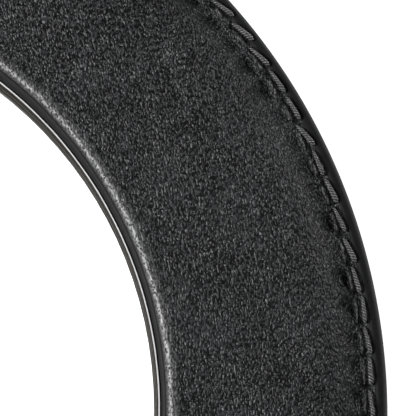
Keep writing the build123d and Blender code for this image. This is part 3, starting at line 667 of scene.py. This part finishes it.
def crescent_surface():
    """Grid over the cover's outer face, and three values for each of its points.

    They are its distance past the wall's foot, its distance from the outer edge, and how far it is
    on the lip of leather beside a stitch.
    """
    x, y, across, foot, width = band_plan()
    past_foot = across - foot
    from_outer = np.maximum(OUTER_R - np.hypot(x, y - OUTER_Y), 0)
    from_inner = np.where(y > NECK_Y, np.hypot(x, y - NECK_Y), np.abs(x)) - NECK_R
    lift = corner_lift(np.minimum(across, width - across))
    y = y + lift * (1 - smooth_step(y - LEG_END_Y, 0, LEG_BLEND))
    above_end = y - LEG_END_Y

    tongue_blend = smooth_step(above_end, TONGUE_L - 1.0, TONGUE_L + 6)
    crest = TONGUE_Z + (TOP_Z - CROWN_DROP - TONGUE_Z) * tongue_blend
    swelling = np.clip((from_outer - SWELL_FOOT) / (SWELL_REACH - SWELL_FOOT), 0, 1)
    bulge = CROWN * np.sin(pi * np.clip((past_foot - 2) / (width - 14), 0, 1))
    full = (1 - (1 - swelling) ** 2.4) * FIELD_FULL + bulge
    wall_full = wall_curve()[1]
    full[:, : len(wall_full)] = wall_full[None, :]
    base = np.where(from_outer < width / 2, FLANGE_Z, SEAT_Z + THIN)
    z = base + full * (crest - base)

    sewn_change, lip = sewing(x, y, from_outer)
    z = z + sewn_change
    z = z - 0.24 * np.clip(1 - from_outer / 1.1, 0, 1) ** 2
    rim_top = z[:, -RIM_SAMPLES - 1 : -RIM_SAMPLES]
    z[:, -RIM_SAMPLES:] = rim_top - (rim_top - SEAT_Z - THIN) * (1 - np.cos(rim_turns()))[None, :]

    inland = smooth_step(from_inner, 2.2, 4.5) * smooth_step(from_outer, 4.5, 7.5)
    sag = wave_noise(3, 10, 9, 32)(x, y)
    wrinkles = wave_noise(11, 12, 1.7, 4.2)(x, y)
    z = z + inland * (0.07 * sag + 0.018 * wrinkles)
    on_ridge = np.exp(-(((past_foot - 1.35) / 0.8) ** 2))
    z = z + on_ridge * 0.045 * wave_noise(17, 14, 1.3, 3.1)(x, y)
    end_round = np.clip(1 - above_end / 0.8, 0, 1) * (z > SEAT_Z + 0.3)
    z = z - 0.35 * end_round**2
    return np.stack([x, y, z], -1), past_foot, from_outer, lip


def under_surface(grid):
    """Inner face of the cover: the outer face moved down by the skin, as far as the seat."""
    last = grid.shape[1] - RIM_SAMPLES - 8
    columns = np.linspace(WALL_SAMPLES // 2, last, INSIDE_SAMPLES).astype(int)
    inside = grid[:, columns[::-1], :].copy()
    inside[..., 2] = np.maximum(inside[..., 2] - SKIN_T, SEAT_Z + THIN)
    return inside


def make_cover():
    """Cover leather, with attributes that say where it is polished and painted with a highlight,
    smooth and darkened as painted shade, creased, and painted with light on the edge leather.
    """
    grid, past_foot, from_outer, lip = crescent_surface()
    ring = np.concatenate([grid, under_surface(grid)], axis=1)
    points, faces = tube(ring, False)

    def spread(values):
        return np.pad(values, ((0, 0), (0, INSIDE_SAMPLES)))

    # The ridge and the stitches' lips are painted pale as a highlight, as well as polished.
    ridge = np.exp(-(((past_foot - 1.78) / 0.37) ** 2)) * (from_outer > 8)
    # Smooth leather by the wall and rim, darkened as painted shade on the wall.
    wall = 1 - smooth_step(past_foot, 0.9, 1.5)
    rim = 1 - smooth_step(from_outer, 1.6, 2.3)
    behind_ridge = smooth_step(past_foot, 0.8, 1.8) * (1 - smooth_step(past_foot, 3.5, 9.0))
    gathers = smooth_step(from_outer, 3.8, 4.8) * (1 - smooth_step(from_outer, 6.0, 9.0))
    # A painted highlight along the outer rim, and painted light where the wall's foot meets the bead,
    # against its shade.
    outer_line = np.exp(-(((from_outer - 0.3) / 0.3) ** 2))
    foot_line = np.exp(-((past_foot / 0.15) ** 2))
    values = {
        "polish_and_highlight": spread(ridge + 0.2 * lip),
        "calm": spread(np.maximum(wall, rim)),
        "crease": spread(np.maximum(behind_ridge, 0.4 * gathers)),
        "painted_light": spread(0.02 * rim + 0.24 * outer_line + 0.6 * foot_line),
    }
    cover = make_object("collar_cover", points, faces, cover_material, values=values)
    cover.data.materials.append(edge_material)
    # The wall, the outer rim and the inside are edge leather; its dark grey on the wall is painted
    # shade.
    smooth = np.concatenate([past_foot.max(0) < 0.95, np.ones(INSIDE_SAMPLES, bool)])
    smooth[grid.shape[1] - RIM_SAMPLES - 7 : grid.shape[1]] = True
    marks = np.concatenate([np.tile(smooth, len(ring) - 1), [1, 1]]).astype(np.int32)
    cover.data.polygons.foreach_set("material_index", marks)
    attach(cover, "collar")
    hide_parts("cover_leather")


def make_padding():
    """Foam under the cover's skin, on the stiffener."""
    grid = crescent_surface()[0]
    last = WALL_SAMPLES + FIELD_SAMPLES + RAMP_SAMPLES - 9
    columns = np.linspace(WALL_SAMPLES - 6, last, 30).astype(int)
    first_row = np.searchsorted(grid[: ROWS // 2, 40, 1], LEG_END_Y + TONGUE_L + 6)
    rows = np.arange(first_row, ROWS - first_row, 3)
    top = grid[rows][:, columns].copy()
    top[..., 2] = np.maximum(top[..., 2] - SKIN_T - 0.1, SEAT_Z + 1.2)
    bottom = top[:, [-1, 0], :].copy()
    bottom[..., 2] = SEAT_Z + 0.85
    points, faces = tube(np.concatenate([top, bottom], axis=1), False)
    padding = make_object("collar_padding", points, faces, foam_material)
    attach(padding, "collar")
    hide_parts("padding_core")


def rings_along(path, side, up, ring, reach):
    """Rings of points round a path, at the angles ring from side towards up."""
    aside = side[:, None, :] * np.cos(ring)[None, :, None]
    above = up[:, None, :] * np.sin(ring)[None, :, None]
    return path[:, None, :] + reach * (aside + above)


def twisted_thread(length, rise, thread_r, turns, samples, sides):
    """One stitch along X: a three-ply thread whose ends dip down.

    Returns its points, its faces, and for each point how far it is out of the plies' grooves.
    """
    t = np.linspace(-1, 1, samples)
    path = np.stack([t * length / 2, 0 * t, rise * (1 - np.abs(t) ** 3.2 - 0.3 * t)], -1)
    thin = np.sqrt(np.clip(1.02 - np.abs(t) ** 5, 0.05, 1)) * (1 - THREAD_TAPER * t)
    along = directions(path, False)
    side = unit(np.cross(along, UP))
    up = np.cross(side, along)
    ring = np.linspace(0, 2 * pi, sides, endpoint=False)
    twist = ring[None, :] - pi * turns * t[:, None]
    ply = np.abs(np.cos(THREAD_PLIES / 2 * twist))
    reach = thread_r * thin[:, None] * (1 - PLY_GROOVE + PLY_GROOVE * ply)
    points, faces = tube(rings_along(path, side, up, ring, reach[:, :, None]), False)
    return points, faces, ply.ravel()


def lay_stitches(name, stitch, places, wander):
    """One piece with a copy of the stitch at each place: (x, y, z, heading, 1 up or -1 down).

    wander is how unevenly they lie, from 0 to 1.
    """
    shape, quads, ply = stitch
    random = np.random.default_rng(29)
    points, faces = [], []
    for number, (x, y, z, heading, face) in enumerate(places):
        heading = heading + random.normal(0, wander * 0.09)
        squeeze = random.uniform(1 - 0.25 * wander, 1.05)
        wobble = random.normal(0, wander * 0.09, 2)
        along, aside, above = shape.T
        aside = aside * squeeze
        east = x + along * cos(heading) - aside * sin(heading) + wobble[0]
        north = y + along * sin(heading) + aside * cos(heading) + wobble[1]
        points.append(np.stack([east, north, z + face * above], -1))
        first = number * len(shape)
        faces += [tuple(first + corner for corner in quad) for quad in quads]
    values = {"ply": np.tile(ply, len(places))}
    return make_object(name, np.concatenate(points), faces, thread_material, values=values)


def make_saddle_stitching():
    """Slanted stitches round the outer edge of the cover."""
    places = []
    for index in range(stitch_gaps + 1):
        angle = -stitch_dip + index * (pi + 2 * stitch_dip) / stitch_gaps
        row_r = OUTER_R - float(stitch_inset(angle))
        x = row_r * cos(angle)
        y = OUTER_Y + row_r * sin(angle)
        places.append((x, y, FLANGE_Z - THREAD_SINK, angle + pi / 2 + STITCH_TILT, 1))
    stitch = twisted_thread(
        STITCH_L + STITCH_SPARE, rise=THREAD_RISE, thread_r=THREAD_R, turns=3.2, samples=61, sides=18
    )
    stitching = lay_stitches("saddle_stitching", stitch, places, wander=1.0)
    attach(stitching, "collar")
    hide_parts("edge_stitching")


def make_piping():
    """Glazed bead along the neck edge, with a raised line painted pale as a highlight."""
    arc_r = NECK_R + COVER_SETBACK - BEAD_R
    leg = straight_leg - LEG_CORNER_R
    run_length = 2 * leg + pi * arc_r
    run = np.linspace(0, run_length, BEAD_ROWS)
    angle = np.clip((run - leg) / arc_r, 0, pi)
    follow = arc_r + BEAD_DRIFT * smooth_step(np.abs(angle - pi / 2), 0.3, 1.0)
    y = NECK_Y + follow * np.sin(angle) + leg_drop(run, leg, run_length)
    centre = np.stack([follow * np.cos(angle), y, 0 * run + SEAT_Z + BEAD_R], -1)
    side = unit(np.cross(directions(centre, False), UP))
    up = np.broadcast_to(UP, side.shape)
    ring = np.linspace(0, 2 * pi, 72, endpoint=False)
    raised = np.exp(-(((ring - BEAD_LIP_TURN) / 0.2) ** 2))[None, :, None]
    uneven = 1 + 0.03 * wave_noise(23, 8, 3, 12)(run, 0 * run)
    size = BEAD_R * uneven[:, None, None] * (1 + BEAD_LIP_H * raised)
    points, faces = tube(rings_along(centre, side, up, ring, size), False)
    # Where the bead is painted pale as a highlight.
    crest = np.exp(-(((ring - BEAD_LIP_TURN - 0.1) / 0.3) ** 4))
    values = {"crest": np.tile(crest, BEAD_ROWS)}
    piping = make_object("neck_piping", points, faces, piping_material, values=values)
    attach(piping, "collar")
    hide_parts("edge_piping")


make_cover()
make_padding()
make_saddle_stitching()
make_piping()

# ---- Straps, tabs and keeper ----

PLY_SLACK = 0.02  # drawn plies are this much thinner than the CAD's
KEEPER_SLACK = 0.03
CUT_SPARE = 0.6  # the keyholes' cutter reaches this far past the ply
SOFTENING = 3  # passes that round a path's kinks
STRIP_EDGE_R = 0.55
CREASE_IN = 1.25  # strip's edge to the creased line
CREASE_D = 0.13
STRAP_STITCH_PITCH = 3.4
STRAP_STITCH_L = 2.7
STRAP_STITCH_IN = 2.3
STRAP_STITCH_CLEAR = 14.0  # bar to the first stitch
STRAP_STITCH_SLANT = 0.12
STRAP_THREAD_SINK = 0.05


def strip_section(thickness):
    """Section of a strip: rows of (offset from an edge, height, which edge, 1 on the cut edge)."""
    turn = np.linspace(-pi / 2, pi / 2, 7)
    edge = [(-STRIP_EDGE_R * (1 - cos(a)), thickness / 2 * sin(a), 1, 1) for a in turn]
    gaps = [0.75, CREASE_IN, CREASE_IN + 0.45, 4.0]
    heights = thickness / 2 - np.array([0.0, CREASE_D, 0.0, -0.03])
    profile = list(zip(gaps, heights))
    half = edge + [(-gap, height, 1, 0) for gap, height in profile]
    other_half = [(gap, height, -side, cut) for gap, height, side, cut in reversed(half)]
    below = [(-gap, -height, -1, 0) for gap, height in profile]
    below += [(-gap, -height, 1, 0) for gap, height in reversed(profile)]
    return np.array(half + other_half + below, float)


def strip(name, centre, side, width, thickness, closed, seed):
    """Leather strip along centre, with rounded, matt cut edges and a creased line on each face."""
    section = strip_section(thickness)
    up = unit(np.cross(side, directions(centre, closed)))
    half_w = np.broadcast_to(width, len(centre))[:, None] / 2
    reach = np.maximum(half_w + section[None, :, 0], 0.02) * section[None, :, 2]
    run = distances(centre)
    if closed:
        # The strip has to swell alike where it meets itself.
        run = 5 * run[-1] / (2 * pi) * np.sin(2 * pi * run / run[-1])
    swell = 1 + 0.035 * wave_noise(seed, 10, 4, 15)(run[:, None], reach)
    height = section[None, :, 1] * swell
    aside = side[:, None, :] * reach[:, :, None]
    grid = centre[:, None, :] + aside + up[:, None, :] * height[:, :, None]
    points, faces = tube(grid, closed)
    piece = make_object(name, points, faces, strap_material)
    piece.data.materials.append(edge_material)
    cut = section[:, 3] * np.roll(section[:, 3], -1)
    marks = np.tile(cut, len(centre) if closed else len(centre) - 1)
    if not closed:
        marks = np.append(marks, [1, 1])
    piece.data.polygons.foreach_set("material_index", marks.astype(np.int32))
    piece.data.set_sharp_from_angle(angle=radians(50))
    return piece


def fold_outline(upper, lower):
    """Side view of a ply turned round a bar: distances from the bar, and heights over it."""
    reach = hypot(FOLD_NECK, PLY_T / 2)
    start = atan2(PLY_T / 2, FOLD_NECK) + acos(FOLD_R / reach)
    turn = np.linspace(start, 2 * pi - start, 26)
    return np.concatenate(
        [
            [(upper, PLY_T / 2), (FOLD_NECK, PLY_T / 2)],
            np.stack([FOLD_R * np.cos(turn), FOLD_R * np.sin(turn)], -1),
            [(FOLD_NECK, -PLY_T / 2), (lower, -PLY_T / 2)],
        ]
    )


def even_points(path, step, closed=False):
    """The same path with points about a step apart and its kinks softened."""
    if closed:
        path = np.concatenate([path, path[:1]])
    length = distances(path)[-1]
    path = at_distances(path, np.linspace(0, length, int(length / step) + 1))
    if closed:
        path = path[:-1]
    for _ in range(SOFTENING):
        softened = (np.roll(path, 1, 0) + 2 * path + np.roll(path, -1, 0)) / 4
        if not closed:
            softened[[0, -1]] = path[[0, -1]]
        path = softened
    return path


def folded_strip(name, bar, heading, upper, lower, width, seed, tip=None):
    """Strip folded round a bar at bar (x, y), its plies running off along heading.

    upper and lower are the plies' lengths, and tip names the ply whose end is rounded.
    """
    outline = even_points(fold_outline(upper, lower), 0.55)
    heading = np.array([heading[0], heading[1], 0.0])
    side = np.cross(heading, UP)
    centre = np.array([bar[0], bar[1], BAR_Z]) + outline[:, :1] * heading
    centre[:, 2] += outline[:, 1]
    widths = np.full(len(outline), width)
    if tip:
        end = upper if tip == "upper" else lower
        on_ply = outline[:, 1] > 0 if tip == "upper" else outline[:, 1] < 0
        into_tip = np.clip(TIP_R - (end - outline[:, 0]), 0, TIP_R)
        narrowed = width - 2 * (TIP_R - np.sqrt(np.maximum(TIP_R**2 - into_tip**2, 0)))
        widths = np.where(on_ply, narrowed, widths)
    sides = np.broadcast_to(side, centre.shape)
    return strip(name, centre, sides, widths, PLY_T - PLY_SLACK, closed=False, seed=seed)


def settle(piece, body, node_name):
    """Puts a strap leather piece on its body in place of its CAD node."""
    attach(piece, body)
    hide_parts(node_name)


def cut_keyholes(billet):
    """Cuts the keyholes through the billet's upper ply and keeps the result."""
    cutter = bmesh.new()
    slit_turn = asin(SLIT_W / 2 / KEYHOLE_R)
    for hole in range(KEYHOLE_COUNT):
        y = BASE_BAR_Y - KEYHOLE_FIRST - hole * KEYHOLE_PITCH
        turn = np.linspace(pi / 2 + slit_turn, 5 * pi / 2 - slit_turn, 25)
        outline = [(KEYHOLE_R * cos(a), y + KEYHOLE_R * sin(a)) for a in turn]
        outline += [(SLIT_W / 2, y + SLIT_L), (-SLIT_W / 2, y + SLIT_L)]
        low, high = [
            [cutter.verts.new((px * MM, py * MM, z * MM)) for px, py in outline]
            for z in (BAR_Z - CUT_SPARE, BAR_Z + PLY_T + CUT_SPARE)
        ]
        for corner in range(len(outline)):
            after = (corner + 1) % len(outline)
            cutter.faces.new((low[corner], low[after], high[after], high[corner]))
        cutter.faces.new(low[::-1])
        cutter.faces.new(high)
    bmesh.ops.recalc_face_normals(cutter, faces=cutter.faces)
    mesh = bpy.data.meshes.new("keyholes")
    cutter.to_mesh(mesh)
    cutter.free()
    mesh.materials.append(edge_material)
    tool = add_to_scene("keyholes", mesh)
    change = billet.modifiers.new("keyholes", "BOOLEAN")
    change.operation = "DIFFERENCE"
    change.object = tool
    change.solver = "EXACT"
    change.material_mode = "TRANSFER"
    bpy.context.view_layer.update()
    state = bpy.context.evaluated_depsgraph_get()
    done = bpy.data.meshes.new_from_object(billet.evaluated_get(state))
    billet.modifiers.clear()
    billet.data = done
    bpy.data.objects.remove(tool)
    done.set_sharp_from_angle(angle=radians(40))


def strap_plan(side):
    """Plan points of a shoulder strap, from its ring's lower bar to the centre ring's side."""
    side_length = CENTRE_DROP / cos(STRAP_ANGLE)
    base_trim = CENTRE_CORNER_R / tan(STRAP_ANGLE / 2)
    middle = (CENTRE_CORNER_R + side_length - base_trim) / 2 * cos(STRAP_ANGLE)
    bend_y = LOWER_BAR_Y - STRAP_LEAD - STRAP_BEND_R * tan(STRAP_ANGLE / 2)
    end = (side * middle, APEX_Y - middle)
    return rounded_path([(side * TAB_X, LOWER_BAR_Y), (side * TAB_X, bend_y), end], STRAP_BEND_R, 0.5)


def place_along(plan, run):
    """Places and headings at distances run along a plan path, carried on past its ends."""
    lengths = distances(plan)
    inside = np.clip(run, 0, lengths[-1])
    headings = directions(plan, False).T
    aim = unit(np.column_stack([np.interp(inside, lengths, axis) for axis in headings]))
    return at_distances(plan, inside) + aim * (run - inside)[:, None], aim


def make_shoulder_strap(side, name):
    """Strap folded round the leg's ring at one end and round the centre ring at the other."""
    plan = strap_plan(side)
    fold = fold_outline(FOLD_NECK, FOLD_NECK)[1:-1]
    far_fold = fold * [-1, 1] + [distances(plan)[-1], 0]
    loop = even_points(np.concatenate([fold[::-1], far_fold]), 0.7, closed=True)
    spot, aim = place_along(plan, loop[:, 0])
    centre = np.column_stack([spot, BAR_Z + loop[:, 1]])
    sides = np.column_stack([aim[:, 1], -aim[:, 0], 0 * aim[:, 0]])
    title = f"{name}_shoulder_strap"
    thickness = PLY_T - PLY_SLACK
    strap = strip(title, centre, sides, STRAP_W, thickness, closed=True, seed=40 + side)
    settle(strap, "yoke", f"{name}_strap")


def strap_stitch_places(side):
    """Places (x, y, heading) of the stitches along both edges of a shoulder strap."""
    plan = strap_plan(side)
    length = distances(plan)[-1]
    count = int((length - 2 * STRAP_STITCH_CLEAR) / STRAP_STITCH_PITCH)
    start = (length - count * STRAP_STITCH_PITCH) / 2
    spot, aim = place_along(plan, start + STRAP_STITCH_PITCH * np.arange(count + 1))
    places = []
    for edge in (-1, 1):
        out = edge * (STRAP_W / 2 - STRAP_STITCH_IN)
        for (x, y), (east, north) in zip(spot, aim):
            heading = atan2(north, east) + STRAP_STITCH_SLANT
            places.append((x + north * out, y - east * out, heading))
    return places


def make_keeper():
    """Leather loop that holds the billet's end down."""
    w = (keeper_high[0] - keeper_low[0] - KEEPER_T) / 2
    h = (keeper_high[2] - keeper_low[2] - KEEPER_T) / 2
    corners = [(0, -h), (w, -h), (w, h), (-w, h), (-w, -h), (0, -h)]
    outline = rounded_path(corners, 0.95, 0.3)[:-1]
    middle = (keeper_low[1] + keeper_high[1]) / 2
    centre = np.column_stack([outline[:, 0], 0 * outline[:, 0] + middle, outline[:, 1] + BAR_Z])
    sides = np.broadcast_to(np.array([0.0, -1.0, 0.0]), centre.shape)
    width = keeper_high[1] - keeper_low[1]
    thickness = KEEPER_T - KEEPER_SLACK
    keeper = strip("leather_keeper", centre, sides, width, thickness, closed=True, seed=61)
    settle(keeper, "keeper", "keeper_loop")


def make_tab(side, name):
    """Leg tab, folded round its ring's upper bar and riveted to the leg."""
    reach = tab_high[1] - UPPER_BAR_Y
    bar = (side * TAB_X, UPPER_BAR_Y)
    tab = folded_strip(f"{name}_leg_tab", bar, (0, 1), reach, reach, TAB_W, seed=50 + side)
    settle(tab, "collar", f"{name}_tab")


def make_drop():
    """Billet with keyholes, and the strap below it that carries the stud."""
    bar = (0, BASE_BAR_Y)
    billet_l = BASE_BAR_Y - billet_low[1]
    billet = folded_strip(
        "keyhole_billet", bar, (0, -1), billet_l, BILLET_FOLD_L, DROP_W, seed=71, tip="upper"
    )
    cut_keyholes(billet)
    settle(billet, "drop", "billet_strap")
    bar = (0, EYE_Y)
    strap_l = stud_high[1] - EYE_Y
    strap = folded_strip(
        "button_strap", bar, (0, 1), STUD_STRAP_FOLD_L, strap_l, DROP_W, seed=73, tip="lower"
    )
    settle(strap, "drop", "stud_strap")


def make_strap_stitching():
    """Fine stitches along the shoulder straps' edges, on both faces."""
    stitch = twisted_thread(STRAP_STITCH_L, rise=0.2, thread_r=0.3, turns=1.6, samples=21, sides=9)
    flat = strap_stitch_places(1) + strap_stitch_places(-1)
    rise = PLY_T - STRAP_THREAD_SINK
    places = [(x, y, BAR_Z + face * rise, turn, face) for face in (1, -1) for x, y, turn in flat]
    stitching = lay_stitches("strap_stitching", stitch, places, wander=0.3)
    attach(stitching, "yoke")


for side, name in ((1, "right"), (-1, "left")):
    make_tab(side, name)
    make_shoulder_strap(side, name)
make_drop()
make_keeper()
make_strap_stitching()

# ---- Carried-over CAD nodes ----

FINISHES = {
    suede_material: ["lining_leather"],
    board_material: ["stiffener_plate"],
    spring_steel: ["gate_spring"],
    nickel: [
        "tab_rivet_studs", "tab_rivet_caps", "left_ring", "right_ring", "centre_ring",
        "strap_rivet_studs", "strap_rivet_caps", "adjuster_stud", "stud_screw",
        "drop_rivet_studs", "drop_rivet_caps", "swivel_eye", "hook_body", "swivel_post",
        "gate_pin", "gate",
    ],
}
for material, names in FINISHES.items():
    for name in names:
        for place in nodes[name].material_slots:
            place.material = material

# ---- Floor, light and camera ----

# Middle of the view, in millimetres: left of the strap's middle and behind the neck's centre
VIEW_X = -23.919
VIEW_BACK = 77.833
VIEW_Z = 4.0
TARGET = Vector((VIEW_X, NECK_Y + VIEW_BACK, VIEW_Z)) * MM
FLOOR_HALF_W = 6.0  # metres
FLOOR_Z = -0.0002
FLOOR_GLOW = 0.9
WORLD_LIGHT = 0.12
CAMERA_TILT = radians(8.0)  # from straight above, towards +X
CAMERA_ROLL = radians(-6.5066)
CAMERA_DISTANCE = 0.35
CAMERA_LENS = 188.897
SENSOR_WIDTH = 36.0


def make_floor():
    """White floor that glows a little, so that it shows as plain white."""
    mesh = bpy.data.meshes.new("floor")
    signs = [(-1, -1), (1, -1), (1, 1), (-1, 1)]
    corners = [(x * FLOOR_HALF_W, y * FLOOR_HALF_W, FLOOR_Z) for x, y in signs]
    mesh.from_pydata(corners, [], [(0, 1, 2, 3)])
    material = bpy.data.materials.new("floor")
    material.use_nodes = True
    shader = material.node_tree.nodes["Principled BSDF"]
    shader.inputs["Base Color"].default_value = (0.86, 0.86, 0.86, 1)
    shader.inputs["Roughness"].default_value = 0.9
    shader.inputs["Specular IOR Level"].default_value = 0.0
    shader.inputs["Emission Color"].default_value = (1, 1, 1, 1)
    shader.inputs["Emission Strength"].default_value = FLOOR_GLOW
    mesh.materials.append(material)
    floor = add_to_scene("floor", mesh)


def add_light(name, place, size, power):
    """Square soft light at a place in metres from the camera's target, turned to that target."""
    data = bpy.data.lights.new(name, "AREA")
    data.size = size
    data.energy = power
    light = add_to_scene(name, data)
    light.location = TARGET + Vector(place)
    light.rotation_euler = (TARGET - light.location).to_track_quat("-Z", "Y").to_euler()
    light.visible_camera = False


def make_camera():
    """Camera over the target, tilted and turned as the photo's was."""
    back = Vector((sin(CAMERA_TILT), 0, cos(CAMERA_TILT)))
    right = (-back).cross(Vector((-1, 0, 0))).normalized()
    up = right.cross(-back)
    turned_right = right * cos(CAMERA_ROLL) + up * sin(CAMERA_ROLL)
    turned_up = up * cos(CAMERA_ROLL) - right * sin(CAMERA_ROLL)
    data = bpy.data.cameras.new("camera")
    data.lens = CAMERA_LENS
    data.sensor_width = SENSOR_WIDTH
    data.clip_start = 0.02
    data.clip_end = 50
    camera = add_to_scene("camera", data)
    axes = Matrix((turned_right, turned_up, back)).transposed().to_4x4()
    camera.matrix_world = Matrix.Translation(TARGET + back * CAMERA_DISTANCE) @ axes
    bpy.context.scene.camera = camera


make_floor()
make_camera()
scene = bpy.context.scene
scene.view_settings.view_transform = "Standard"
world = bpy.data.worlds.new("studio")
scene.world = world
world.use_nodes = True
background = world.node_tree.nodes["Background"]
background.inputs["Color"].default_value = (1, 1, 1, 1)
background.inputs["Strength"].default_value = WORLD_LIGHT
add_light("neck_side", (-0.02, -0.42, 0.36), size=0.18, power=2.7)
add_light("overhead", (0.1, 0.1, 0.9), size=0.8, power=0.4)
add_light("far_side", (-0.25, 0.6, 0.25), size=0.2, power=2.0)
